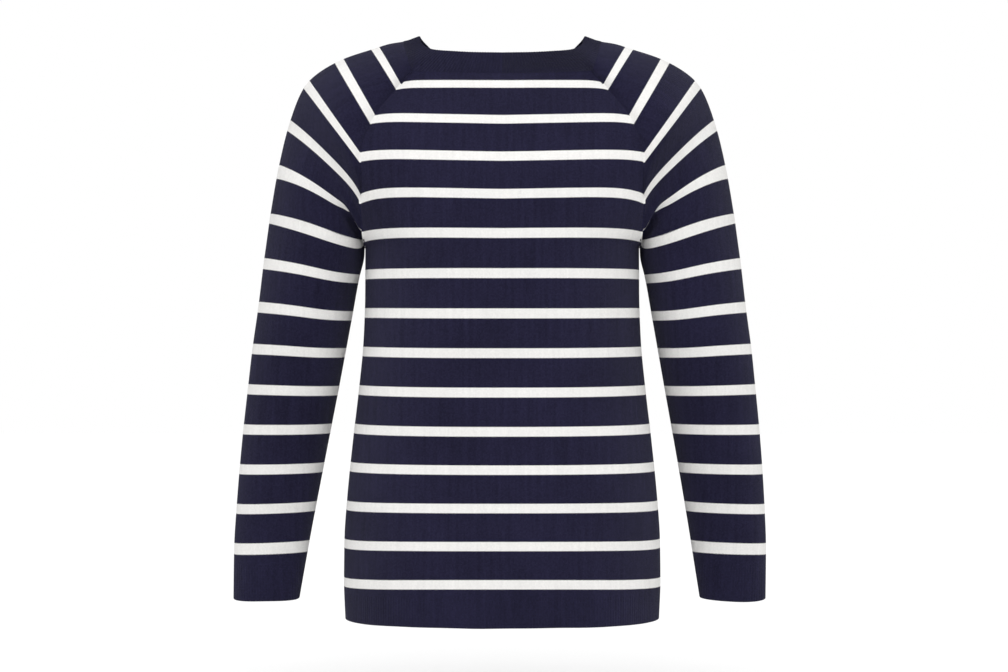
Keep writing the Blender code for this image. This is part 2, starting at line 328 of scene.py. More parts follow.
@dataclass
class Cloth:
    """A grid of points on the outside of a piece of cloth, with its knit's coordinates.

    Rows run towards the hem, and columns run so that down x across points outwards.

    Args:
        points: The points, as (row, column, 3), in millimetres.
        wale: How far across the knit each point is, in millimetres.
        stripe: The stripe number at each point, which is how far down the knit it is.
        rings_from: The first row that is a closed ring, or the number of rows where none is.
    """

    points: Array
    wale: Array
    stripe: Array
    rings_from: int
    normals: Array = field(init=False)

    def __post_init__(self) -> None:
        """Finds the normals of the points as they are given."""
        self.find_normals()

    def find_normals(self) -> None:
        """Works out the outward direction at each point."""
        across = np.gradient(self.points, axis=1, edge_order=2)
        normals = np.cross(np.gradient(self.points, axis=0, edge_order=2), across)
        rings = slice(self.rings_from, None)
        joined = (self.points[rings, 1] - self.points[rings, -2]) / 2
        down = np.gradient(self.points, axis=0, edge_order=2)[rings, 0]
        normals = unit(normals)
        normals[rings, 0] = normals[rings, -1] = unit(np.cross(down, joined))
        self.normals = normals

    def sink(self, depth: Array) -> None:
        """Moves each point inwards by its depth and finds the normals again."""
        self.points = self.points - depth[..., None] * self.normals
        self.find_normals()

    def mirrored(self) -> "Cloth":
        """The same cloth on the other side of the jumper."""
        points = self.points[:, ::-1] * (-1, 1, 1)
        return Cloth(points, -self.wale[:, ::-1], self.stripe[:, ::-1], self.rings_from)


@dataclass(frozen=True)
class Wall:
    """Turns cloth into a thin closed shell whose last row curls over to its inside.

    Args:
        thickness: The wall's thickness in millimetres.
        curl_rows: How many rows of points the curled edge has, an even number.
        sharp_above: The angle in degrees above which an edge is a sharp one.
    """

    thickness: float = 1.7
    curl_rows: int = 4
    sharp_above: float = 52.0

    def object(self, name: str, cloth: Cloth) -> bpy.types.Object:
        """Builds the shell as a new object.

        Args:
            name: The object's name.
            cloth: The cloth on its outside.

        Returns:
            The object, linked to the scene.
        """
        points = self._layers(cloth)
        source = self._faces(points.shape[0], points.shape[1], cloth.rings_from)
        corner = np.arange(points.shape[0] * points.shape[1]).reshape(points.shape[:2])
        merged = corner.copy()
        rings = np.arange(len(points))
        rings = (rings >= cloth.rings_from) & (rings < len(points) - cloth.rings_from)
        merged[rings, -1] = corner[rings, 0]
        kept, faces = np.unique(merged.reshape(-1)[source], return_inverse=True)
        mesh = bpy.data.meshes.new(name)
        verts = points.reshape(-1, 3)[kept] * MM
        mesh.from_pydata(verts.tolist(), [], faces.reshape(-1, 4).tolist())
        self._lay_knit(mesh, source.reshape(-1), cloth)
        mesh.shade_smooth()
        mesh.set_sharp_from_angle(angle=math.radians(self.sharp_above))
        mesh.validate()
        made = bpy.data.objects.new(name, mesh)
        bpy.context.scene.collection.objects.link(made)
        return made

    def _layers(self, cloth: Cloth) -> Array:
        """The shell's points: the outside, the curled edge, and the inside from the edge back up."""
        outer, normals = cloth.points, cloth.normals
        inner = outer - self.thickness * normals
        down = unit(outer[-1] - outer[-2])
        middle = (outer[-1] + inner[-1]) / 2
        turns = np.linspace(0, math.pi, self.curl_rows + 2)[1:-1]
        half = self.thickness / 2
        curl = [middle + half * (math.cos(a) * normals[-1] + math.sin(a) * down) for a in turns]
        return np.concatenate([outer, np.array(curl), inner[::-1]])

    @staticmethod
    def _faces(rows: int, columns: int, rings_from: int) -> Array:
        """The shell's faces, as four numbers of points each."""
        index = np.arange(rows * columns).reshape(rows, columns)
        quads = np.stack([index[:-1, :-1], index[1:, :-1], index[1:, 1:], index[:-1, 1:]], axis=-1)
        faces = [quads.reshape(-1, 4)]
        count = min(rings_from + 1, rows // 2)
        out, back = index[:count], index[::-1][:count]
        faces.append(np.stack([out[1:, 0], out[:-1, 0], back[:-1, 0], back[1:, 0]], axis=-1))
        faces.append(np.stack([out[:-1, -1], out[1:, -1], back[1:, -1], back[:-1, -1]], axis=-1))
        top, under = index[0], index[-1]
        faces.append(np.stack([top[:-1], top[1:], under[1:], under[:-1]], axis=-1))
        return np.concatenate(faces)

    def _lay_knit(self, mesh: bpy.types.Mesh, source: Array, cloth: Cloth) -> None:
        """Gives each corner of the mesh its place in the knit."""
        placed = []
        for value in (cloth.wale, cloth.stripe):
            edge = np.repeat(value[-1:], self.curl_rows, axis=0)
            placed.append(np.concatenate([value, edge, value[::-1]]).reshape(-1)[source])
        layer = mesh.uv_layers.new(name=KNIT_MAP)
        layer.data.foreach_set("uv", np.stack(placed, axis=1).astype(np.float32).ravel())


@dataclass(frozen=True)
class Seam:
    """The shallow valley along a seam, where the two edges are linked and turn in.

    Args:
        depth: How far the edge itself lies below the cloth, in millimetres.
        width: How far from the edge the cloth starts to turn in, in millimetres.
    """

    depth: float = 0.14
    width: float = 1.2

    def sunk(self, distance: Array) -> Array:
        """How far cloth at that distance from the seam lies below the plain cloth."""
        return self.depth * np.exp(-((distance / self.width) ** 2))


def columns_to_seam(strips: int) -> Array:
    """Places from the middle (0) to the seam (1), closer together near the seam."""
    q = np.linspace(0, 1, strips + 1)
    return 1.12 * q - 0.12 * q ** (1 + 1 / 0.12)


@dataclass
class BodyPanel:
    """The back or the front, from the neckband's seam down to the hem.

    Args:
        name: The piece's name.
        side: Which side of the jumper it is on.
        yoke: Its rows above the underarms.
        stripes: Its white stripes.
        creases: Soft troughs and ridges, in millimetres across (x) and up (z).
        hem_wave: How uneven the hem's edge is, in millimetres.
        cut: The flat width and length of the cloth, in metres, and its area in square metres; not used.
    """

    name: str
    side: Side
    yoke: Sequence[Yoke]
    stripes: Sequence[Stripe]
    creases: Sequence[Crease] = ()
    hem_wave: float = 0.5
    cut: tuple[float, float, float] = (0.45, 0.6, 0.225)
    wall: Wall = field(default_factory=Wall)
    seam: Seam = field(default_factory=Seam)

    def rows(self) -> Array:
        """Each row's five sizes: the seam's x, depth and height, and the middle's height and depth."""
        numbers = np.linspace(0, UNDERARM, YOKE_STRIPS + 1)
        upper = np.stack([smooth(self.yoke, name, numbers) for name in Yoke._fields[1:]], axis=1)
        height = np.linspace(SKIRT[-1].height, SKIRT[0].height, SKIRT_STRIPS + 1)[1:]
        width = smooth(SKIRT, "half_width", height)
        depth = smooth(SKIRT, self.side.name.lower() + "_depth", height)
        lower = np.stack([width, np.zeros_like(width), height, height, depth], axis=1)
        return np.concatenate([upper, lower])

    def half(self) -> Array:
        """The points from the middle to the +X seam, with depth as y."""
        seam_x, seam_depth, seam_height, height, depth = (value[:, None] for value in self.rows().T)
        deep = (seam_depth / depth) ** SECTION_ROUNDNESS_DEEP
        whole = seam_x / (1 - deep) ** (1 / SECTION_ROUNDNESS_ACROSS)
        last = np.arcsin((seam_x / whole) ** (SECTION_ROUNDNESS_ACROSS / 2))
        angle = last * columns_to_seam(HALF_PANEL_STRIPS)[None, :]
        x = whole * np.sin(angle) ** (2 / SECTION_ROUNDNESS_ACROSS)
        y = depth * np.maximum(np.cos(angle), 0) ** (2 / SECTION_ROUNDNESS_DEEP)
        z = height + (seam_height - height) * (x / seam_x) ** NECK_CURVE
        return np.stack([x, y, z], axis=2)

    def stripe_at(self, share: Array, height: Array) -> Array:
        """The stripe number at each point.

        Args:
            share: How far from the middle to the seam each point is, from 0 to 1.
            height: Each point's z.

        Returns:
            Whole numbers on the stripes' middles, and numbers between them elsewhere.
        """
        knots = []
        for row in self.stripes:
            middle = row.middle + row.rise * share**1.3
            middle = middle + (row.side - row.middle - row.rise) * share**row.curve
            knots += [middle + row.white / 2, middle - row.white / 2]
        knots = np.array(knots)
        numbers = np.array([[row.number - WHITE_SHARE, row.number + WHITE_SHARE] for row in self.stripes])
        numbers = numbers.reshape(-1)
        first = numbers[0] + (knots[0] - height) / STRIPE_PITCH
        last = numbers[-1] + (knots[-1] - height) / STRIPE_PITCH
        found = np.where(height > knots[0], first, last)
        for k in range(len(numbers) - 1):
            within = (height <= knots[k]) & (height > knots[k + 1])
            part = (knots[k] - height) / (knots[k] - knots[k + 1])
            found = np.where(within, numbers[k] + part * (numbers[k + 1] - numbers[k]), found)
        return found

    def cloth(self) -> Cloth:
        """The panel's outside, creased and with its seams turned in."""
        half = self.half()
        share = half[..., 0] / half[:, -1:, 0]
        stripe = self.stripe_at(share, half[..., 2])
        wale = lengths_along(half, axis=1)
        to_seam = wale[:, -1:] - wale
        flip = slice(None, 0, -1)
        turned = self.side.value
        points = np.concatenate([half[:, flip] * (-1, 1, 1), half], axis=1) * (1, turned, 1)
        wale = np.concatenate([-wale[:, flip], wale], axis=1)
        stripe = np.concatenate([stripe[:, flip], stripe], axis=1)
        to_seam = np.concatenate([to_seam[:, flip], to_seam], axis=1)
        points[..., 2] += self._hem_lift(points[..., 0], points[..., 2])
        if self.side is Side.FRONT:
            points, wale, stripe, to_seam = (a[:, ::-1] for a in (points, wale, stripe, to_seam))
        made = Cloth(points, wale, stripe, len(points))
        x, z = made.points[..., 0], made.points[..., 2]
        made.sink(sum((crease.sunk(x, z) for crease in self.creases), np.zeros_like(x)))
        made.sink(self.seam.sunk(to_seam))
        return made

    def _hem_lift(self, x: Array, z: Array) -> Array:
        """How far the hem's edge is lifted by the unevenness of the cloth."""
        near = eased((z - SKIRT[0].height - HEM_BORDER) / -HEM_BORDER)
        phase = 0.7 * self.side.value
        wave = np.sin(x / 21.0 + phase) + 0.6 * np.sin(x / 47.0 - 2 * phase) + 0.4 * np.sin(x / 9.3 + 1.3)
        return near * self.hem_wave * wave / 2

    def build(self) -> bpy.types.Object:
        """Builds the panel and puts it in the frame."""
        made = self.wall.object(self.name, self.cloth())
        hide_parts(self.name.replace("_cloth", ""))
        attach(made, "root")
        return made


UNDERARM_FOLDS = (
    Crease((-16.0, 228.0), (38.0, 215.0), 12.0, 14.0),
    Crease((-8.0, 198.0), (42.0, 190.0), 7.5, -5.0),
)


SLEEVE_NARROWING = ((3, 0.08), (4, 0.16), (5, -0.22), (6, 0.36), (7, 0.08), (15, 0.08))


@dataclass
class Sleeve:
    """A raglan sleeve, from the neckband's seam over the shoulder and down to the cuff.

    Args:
        arm: Which arm it is for.
        back_yoke: The back panel's rows, whose seam it starts from.
        front_yoke: The front panel's rows.
        folds: The troughs and ridges beside the underarm, in millimetres from the seam and down the knit.
        creases: Softer ones elsewhere, in millimetres round from the outer line and down the knit.
        inner_lift: How far up the stripes turn at the top of the inner line, as a share of their pitch.
        fold_lift: How far up the fifth stripe runs where it goes under the fold, as a share of the pitch.
        sag: How far down the stripes hang half way round the top of the arm, as a share of their pitch.
        sway: How far the cuff hangs towards +X, in millimetres.
        cuff_wave: How uneven the cuff's edge is, in millimetres.
        cuff_turn: How far the edge rises at the inner and outer lines, in millimetres.
        cut: The flat width and length of the cloth, in metres, and its area in square metres; not used.
    """

    arm: Arm
    back_yoke: Sequence[Yoke]
    front_yoke: Sequence[Yoke]
    folds: Sequence[Crease] = UNDERARM_FOLDS
    creases: Sequence[Crease] = ()
    inner_lift: float = 0.2
    fold_lift: float = 0.16
    sag: float = 0.055
    sway: float = -3.0
    cuff_wave: float = 0.4
    cuff_turn: float = 2.4
    cut: tuple[float, float, float] = (0.36, 0.66, 0.164)
    wall: Wall = field(default_factory=Wall)
    seam: Seam = field(default_factory=Seam)

    def seam_points(self, side: Side) -> Array:
        """The raglan seam's points on one side, from the neckband down to just above the underarm."""
        yoke = self.back_yoke if side is Side.BACK else self.front_yoke
        numbers = np.linspace(0, UNDERARM, YOKE_STRIPS + 1)[:-1]
        columns = [smooth(yoke, name, numbers) for name in ("seam_x", "seam_depth", "seam_height")]
        return np.stack(columns, axis=1) * (1, side.value, 1)

    def half_head(self, side: Side, normals: Array) -> Array:
        """The courses of the sleeve head on one side, from the raglan seam to the shoulder line.

        Args:
            side: Which side of the jumper they are on.
            normals: The panel's outward directions along the seam.

        Returns:
            The points, as (row, column, 3).
        """
        numbers = np.linspace(0, UNDERARM, YOKE_STRIPS + 1)[:-1]
        seam = self.seam_points(side)
        outer = np.stack([smooth(SLEEVE_HEAD, "outer_" + axis, numbers) for axis in "xyz"], axis=1)
        across = unit((outer - seam) * (1, 0, 1))
        deep = np.array((0.0, 1.0, 0.0))
        on = unit(deep * (normals * across).sum(1)[:, None] - across * (normals * deep).sum(1)[:, None])
        on = on * np.sign((on * across).sum(1))[:, None]
        lead = np.stack([smooth(SLEEVE_HEAD, "lead_" + axis, numbers) for axis in "xyz"], axis=1)
        fold = smooth(SLEEVE_HEAD, "fold", numbers)[:, None]
        lead = unit((1 - fold) * on + fold * unit(lead * (1, -side.value, 1)))
        first = seam + (SEAM_ROOM + FOLD_ROOM * fold) * unit(lead + fold * normals)
        near = smooth(SLEEVE_HEAD, "seam_reach", numbers)[:, None]
        far = smooth(SLEEVE_HEAD, "outer_reach", numbers)[:, None]
        return cubic(first, first + near * lead, outer + far * deep * side.value, outer, self.places())

    def half_arm(self, side: Side) -> Array:
        """The courses below the underarm on one side, from the inner line to the outer line."""
        numbers = np.linspace(UNDERARM, SLEEVE_ARM[-1].row, ARM_STRIPS + 1)
        at = {name: smooth(SLEEVE_ARM, name, numbers) for name in Ring._fields[1:]}
        inner = np.stack([at["inner_x"], at["inner_y"], at["inner_z"]], axis=1)
        outer = np.stack([at["outer_x"], at["middle_y"], at["outer_z"]], axis=1)
        deep = np.stack([0 * numbers, side.value * HALF_RING_REACH * at["half_depth"], 0 * numbers], axis=1)
        return cubic(inner, inner + deep, outer + deep, outer, self.places())

    @staticmethod
    def places() -> Array:
        """Places from the seam (0) to the outer line (1), closer together near the seam."""
        return 1 - columns_to_seam(HALF_SLEEVE_STRIPS)[::-1]

    def cloth(self, back_normals: Array, front_normals: Array) -> Cloth:
        """The outside of the sleeve at +X, creased and with its seams turned in.

        Args:
            back_normals: The back panel's outward directions along the raglan seam.
            front_normals: The front panel's.

        Returns:
            The cloth, whose first and last columns lie on the seams.
        """
        back = np.concatenate([self.half_head(Side.BACK, back_normals), self.half_arm(Side.BACK)])
        front = np.concatenate([self.half_head(Side.FRONT, front_normals), self.half_arm(Side.FRONT)])
        points = np.concatenate([back, front[:, -2::-1]], axis=1)
        head = np.linspace(0, UNDERARM, YOKE_STRIPS + 1)[:-1]
        arm = np.linspace(UNDERARM, LAST_COURSE, ARM_STRIPS + 1)
        stripe = np.repeat(np.concatenate([head, arm])[:, None], points.shape[1], axis=1)
        round_it = lengths_along(points, axis=1)
        outer_line = round_it[:, HALF_SLEEVE_STRIPS : HALF_SLEEVE_STRIPS + 1]
        wale = round_it - outer_line
        to_seam = np.minimum(round_it, round_it[:, -1:] - round_it)
        points[..., 0] += self.arm.value * self.sway * np.clip((stripe - UNDERARM) / 9, 0, 1) ** 2
        points[..., 2] += self._cuff_lift(wale, stripe)
        down = stripe * STRIPE_PITCH
        lift = self.inner_lift * np.exp(-((to_seam / 20.0) ** 2) - ((stripe - UNDERARM) / 0.4) ** 2)
        lift += self.fold_lift * np.exp(-(((to_seam - 24.0) / 16.0) ** 2) - ((stripe - 5.0) / 0.35) ** 2)
        lift -= self.sag * np.exp(-(((to_seam - 50.0) / 32.0) ** 2) - ((stripe - 6.6) / 2.6) ** 2)
        made = Cloth(points, wale, self.narrowed(stripe + lift), YOKE_STRIPS)
        folded = sum((fold.sunk(to_seam, down) for fold in self.folds), np.zeros_like(wale))
        made.sink(folded * eased(to_seam / 9.0))
        made.sink(sum((crease.sunk(wale, down) for crease in self.creases), np.zeros_like(wale)))
        made.sink(self.seam.sunk(to_seam))
        return made

    @staticmethod
    def narrowed(number: Array) -> Array:
        """The same stripe numbers, but changing faster across each white stripe so that it knits narrower."""
        off = number - np.round(number)
        numbers, shares = np.transpose(SLEEVE_NARROWING)
        return number + off * np.interp(number, numbers, shares) * np.exp(-((off / 0.25) ** 2))

    def _cuff_lift(self, wale: Array, stripe: Array) -> Array:
        """How far the cuff's edge is lifted by the unevenness of the cloth."""
        near = eased((stripe - 14.2) / (LAST_COURSE - 14.2))
        phase = 0.9 * self.arm.value
        wave = np.sin(wale / 13.0 + phase) + 0.6 * np.sin(wale / 29.0 - phase)
        quarter = np.abs(wale[:, :1]) / 2
        corner = np.abs(1 - np.abs(wale) / quarter) ** 3
        return near * (self.cuff_wave * wave + self.cuff_turn * corner)

    def build(self, back_normals: Array, front_normals: Array) -> bpy.types.Object:
        """Builds the sleeve and puts it in the frame."""
        cloth = self.cloth(back_normals, front_normals)
        side = self.arm.name.lower()
        if self.arm is Arm.LEFT:
            cloth = cloth.mirrored()
        made = self.wall.object(f"sleeve_{side}_cloth", cloth)
        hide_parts(f"sleeve_{side}")
        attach(made, "root")
        return made


@dataclass
class Neckband:
    """The ribbed band round the neck.

    Args:
        ribs: How many ribs go round it.
        rib_raise: How far a rib stands above the groove beside it, in millimetres.
        crown: How far the band's middle stands out from its two edges, in millimetres.
        columns_a_rib: The columns of points in each rib.
        rows: The strips from its lower edge to its open edge.
        softening: How many columns to each side the band's corners are rounded over.
        softened_by: How far up the band they are round, as a share of its width.
        cut: The flat width and length of the band, in metres; not used.
    """

    ribs: int = 200
    rib_raise: float = 0.6
    crown: float = 0.2
    columns_a_rib: int = 8
    rows: int = 12
    softening: int = 70
    softened_by: float = 0.45
    cut: tuple[float, float] = (0.68, 0.028)
    wall: Wall = field(default_factory=lambda: Wall(thickness=1.9))

    def around(self, points: Array, values: Array) -> Array:
        """The values at a line of points, taken evenly along it, from the middle of the back all the way round."""
        length = lengths_along(points)
        at = np.linspace(0, length[-1], self.ribs * self.columns_a_rib // 2 + 1)
        half = np.stack([np.interp(at, length, values[:, k]) for k in range(3)], axis=1)
        return np.concatenate([half, half[-2::-1] * (-1, 1, 1)])

    def softened(self, ring: Array) -> Array:
        """The values round a closed ring of columns, each averaged with those near it."""
        near = np.hanning(2 * self.softening + 1)
        near = near / near.sum()
        closed = ring[:-1]
        wide = np.concatenate([closed[-self.softening :], closed, closed[: self.softening]])
        mean = np.stack([np.convolve(wide[:, k], near, "valid") for k in range(3)], axis=1)
        return np.concatenate([mean, mean[:1]])

    def cloth(self, seam: Array, seam_normals: Array) -> Cloth:
        """The band's outside, with its ribs.

        Args:
            seam: The upper edge of the pieces below, from the middle of the back to the middle of the front.
            seam_normals: Their outward directions there.

        Returns:
            The cloth, whose first row is at the seam and last row is the open edge.
        """
        at = np.linspace(0, NECK_EDGE[-1].share, 401)
        edge = np.stack([smooth(NECK_EDGE, axis, at) for axis in "xyz"], axis=1)
        high, low = self.around(edge, edge), self.around(seam, seam)
        outward = unit(self.softened(self.around(seam, seam_normals)))
        low = low - 0.6 * unit(high - low) + 0.15 * outward
        share = np.linspace(0, 1, self.rows + 1)[:, None, None]
        eased_low = low + eased(share / self.softened_by) * (self.softened(low) - low)
        points = eased_low + share * (high - eased_low)
        turn = 2 * np.pi * np.arange(points.shape[1]) / self.columns_a_rib
        rib = (0.5 - 0.5 * np.cos(turn)) ** 0.7 * self.rib_raise
        fade = 0.45 + 0.55 * eased(share[:, 0] / 0.12)
        height = self.crown * 4 * share[:, 0] * (1 - share[:, 0]) + (rib - self.rib_raise / 2) * fade
        points = points[:, ::-1]
        wale = lengths_along(points, axis=1)
        made = Cloth(points, wale, 15.0 + 0 * wale + share[..., 0], 0)
        made.sink(-height[:, ::-1])
        return made

    def build(self, seam: Array, seam_normals: Array) -> bpy.types.Object:
        """Builds the band and puts it in the frame."""
        made = self.wall.object("neckband_cloth", self.cloth(seam, seam_normals))
        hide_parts("neckband")
        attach(made, "root")
        return made


Value = bpy.types.NodeSocket | float


@dataclass
class Graph:
    """Adds shader nodes to a tree, a short call for each.

    Args:
        tree: The material's or the world's nodes.
    """

    tree: bpy.types.NodeTree

    def node(self, kind: str, **settings: object) -> bpy.types.Node:
        """Adds a node and sets its own options."""
        made = self.tree.nodes.new("ShaderNode" + kind)
        for name, value in settings.items():
            setattr(made, name, value)
        return made

    def feed(self, socket: bpy.types.NodeSocket, value: Value) -> None:
        """Links an input to an output, or sets it to a number."""
        if isinstance(value, bpy.types.NodeSocket):
            self.tree.links.new(value, socket)
        else:
            socket.default_value = value

    def math(self, operation: str, *values: Value) -> bpy.types.NodeSocket:
        """Adds a Math node and returns its result."""
        made = self.node("Math", operation=operation)
        for socket, value in zip(made.inputs, values):
            self.feed(socket, value)
        return made.outputs[0]

    def pair(self, x: Value, y: Value) -> bpy.types.NodeSocket:
        """Joins two numbers into a vector."""
        made = self.node("CombineXYZ")
        self.feed(made.inputs[0], x)
        self.feed(made.inputs[1], y)
        return made.outputs[0]

    def noise(self, vector: Value, scale: float, detail: float) -> bpy.types.NodeSocket:
        """Adds soft noise, mostly from 0.3 to 0.7, and returns its value."""
        made = self.node("TexNoise", noise_dimensions="3D")
        self.feed(made.inputs["Vector"], vector)
        made.inputs["Scale"].default_value = scale
        made.inputs["Detail"].default_value = detail
        return made.outputs["Fac"]

    def blend(self, share: Value, first: Value, second: Value) -> bpy.types.NodeSocket:
        """Mixes two numbers: the first at a share of 0, the second at 1."""
        made = self.node("Mix", data_type="FLOAT")
        for socket, value in zip((made.inputs[0], made.inputs[2], made.inputs[3]), (share, first, second)):
            self.feed(socket, value)
        return made.outputs[0]


Colour = tuple[float, float, float]


@dataclass(frozen=True)
class KnitFinish:
    """Fine stocking-stitch cotton knit, plain or striped.

    Args:
        name: The material's name.
        ground: The yarn's colour.
        stripe: The stripes' colour, the same as the ground where there are none.
        wale: How wide a column of stitches is, in millimetres.
        courses: How many rows of stitches there are from one stripe to the next.
        white_courses: How many of them are the stripe's, an odd number.
        lean: How many courses the two legs of a stitch rise over their width.
        relief: How far a stitch stands up, in millimetres.
        rib_from: The stripe number from which the knit is a faint rib, as at the hem.
        rib_relief: How far that rib stands up, in millimetres.
        unevenness: How much the yarn's shade wanders, as a share of it.
        nap: How much light the loose fibres catch at a low angle.
        shine: How much light the yarn's surface reflects.
    """

    name: str
    ground: Colour
    stripe: Colour
    wale: float = 1.55
    courses: int = 34
    white_courses: int = 9
    lean: float = 1.3
    relief: float = 0.32
    rib_from: float = 14.32
    rib_relief: float = 0.35
    unevenness: float = 0.6
    nap: float = 0.05
    shine: float = 0.06

    def material(self) -> bpy.types.Material:
        """Makes the material."""
        made = bpy.data.materials.new(self.name)
        made.use_nodes = True
        graph = Graph(made.node_tree)
        shader = made.node_tree.nodes["Principled BSDF"]
        place = graph.node("SeparateXYZ")
        graph.feed(place.inputs[0], graph.node("UVMap", uv_map=KNIT_MAP).outputs[0])
        across, down = place.outputs[0], place.outputs[1]
        wales = graph.math("DIVIDE", across, self.wale)
        leg = graph.math("ABSOLUTE", graph.math("SUBTRACT", graph.math("FRACT", wales), 0.5))
        course = graph.math("MULTIPLY_ADD", down, float(self.courses), graph.math("MULTIPLY_ADD", leg, self.lean, -self.lean / 4))
        number = graph.math("ROUND", course)
        stitch = self._stitch(graph, leg, graph.math("SUBTRACT", course, number))
        white = self._white(graph, down, number)
        cell = graph.pair(graph.math("FLOOR", wales), number)
        shade = self._shade(graph, cell, wales, down)
        self._colour(graph, shader, white, stitch, shade)
        self._relief(graph, shader, stitch, wales, down)
        shader.inputs["Sheen Weight"].default_value = self.nap
        shader.inputs["Sheen Roughness"].default_value = 0.45
        shader.inputs["Sheen Tint"].default_value = (0.86, 0.88, 1.0, 1.0)
        shader.inputs["Specular IOR Level"].default_value = self.shine
        return made

    def _stitch(self, graph: Graph, leg: Value, along: Value) -> bpy.types.NodeSocket:
        """How high the yarn stands at each point of a stitch, from 0 to 1."""
        side = graph.math("MULTIPLY", graph.math("SUBTRACT", leg, 0.25), 4.0)
        rounded = graph.math("SUBTRACT", 1.0, graph.math("MULTIPLY", side, side))
        end = graph.math("MULTIPLY", along, 2.0)
        full = graph.math("SUBTRACT", 1.0, graph.math("MULTIPLY", end, end))
        return graph.math("MULTIPLY", graph.math("MAXIMUM", rounded, 0.0), graph.math("SQRT", full))

    def _white(self, graph: Graph, down: Value, number: Value) -> bpy.types.NodeSocket:
        """1 on the stripes' own courses and 0 elsewhere."""
        half = self.courses / 2
        repeat = graph.math("ABSOLUTE", graph.math("WRAP", number, half, -half))
        striped = graph.math("LESS_THAN", repeat, self.white_courses / 2)
        middle = (1 + BACK_STRIPES[-1].number) / 2
        return graph.math("MULTIPLY", striped, graph.math("COMPARE", down, middle, middle - 0.5))

    def _shade(self, graph: Graph, cell: Value, wales: Value, down: Value) -> bpy.types.NodeSocket:
        """How the yarn's shade wanders: in clouds, in streaks along the wales, and from stitch to stitch."""
        place = graph.node("TexCoord").outputs["Object"]
        clouds = graph.noise(place, 11.0, 3.0)
        fibres = graph.noise(place, 1400.0, 2.0)
        streaks = graph.noise(graph.pair(graph.math("MULTIPLY", wales, 0.35), graph.math("MULTIPLY", down, 0.6)), 1.0, 2.0)
        single = graph.node("TexWhiteNoise", noise_dimensions="2D")
        graph.feed(single.inputs["Vector"], cell)
        total = graph.math("ADD", graph.math("ADD", clouds, streaks), fibres)
        total = graph.math("MULTIPLY_ADD", single.outputs["Value"], 0.5, total)
        return graph.math("MULTIPLY_ADD", graph.math("SUBTRACT", total, 1.75), self.unevenness, 1.0)

    def _colour(self, graph: Graph, shader: bpy.types.Node, white: Value, stitch: Value, shade: Value) -> None:
        """Colours the yarn, with painted shade making it darker between the stitches."""
        mix = graph.node("Mix", data_type="RGBA")
        graph.feed(mix.inputs[0], white)
        mix.inputs[6].default_value = (*self.ground, 1.0)
        mix.inputs[7].default_value = (*self.stripe, 1.0)
        # Painted shade: the navy is darker between the stitches, where their grooves would be in shade, and the white
        # is a little darker there.
        between = graph.math("MULTIPLY_ADD", stitch, 0.5, 0.68)
        between_white = graph.math("MULTIPLY_ADD", stitch, 0.10, 0.93)
        # Painted shade between the stitches, times the yarn's own random shade.
        painted_shade_and_tone = graph.math("MULTIPLY", between, shade)
        white_painted_shade_and_tone = graph.math("MULTIPLY", between_white, graph.blend(0.8, shade, 1.0))
        scale = graph.node("VectorMath", operation="SCALE")
        graph.feed(scale.inputs[0], mix.outputs[2])
        graph.feed(scale.inputs["Scale"], graph.blend(white, painted_shade_and_tone, white_painted_shade_and_tone))
        graph.feed(shader.inputs["Base Color"], scale.outputs[0])
        rough = graph.math("MULTIPLY_ADD", shade, -0.12, 1.02)
        graph.feed(shader.inputs["Roughness"], rough)

    def _relief(self, graph: Graph, shader: bpy.types.Node, stitch: Value, wales: Value, down: Value) -> None:
        """Raises the stitches, and the faint rib near the edge."""
        wave = graph.math("COSINE", graph.math("MULTIPLY", wales, math.pi))
        border = graph.node("MapRange", interpolation_type="SMOOTHSTEP")
        graph.feed(border.inputs["Value"], down)
        border.inputs["From Min"].default_value = self.rib_from
        border.inputs["From Max"].default_value = self.rib_from + 0.03
        rib = graph.math("MULTIPLY", graph.math("MULTIPLY", wave, border.outputs[0]), self.rib_relief / 2)
        height = graph.math("MULTIPLY_ADD", stitch, self.relief, rib)
        bump = graph.node("Bump")
        bump.inputs["Strength"].default_value = 1.0
        bump.inputs["Distance"].default_value = MM
        graph.feed(bump.inputs["Height"], height)
        graph.feed(shader.inputs["Normal"], bump.outputs[0])


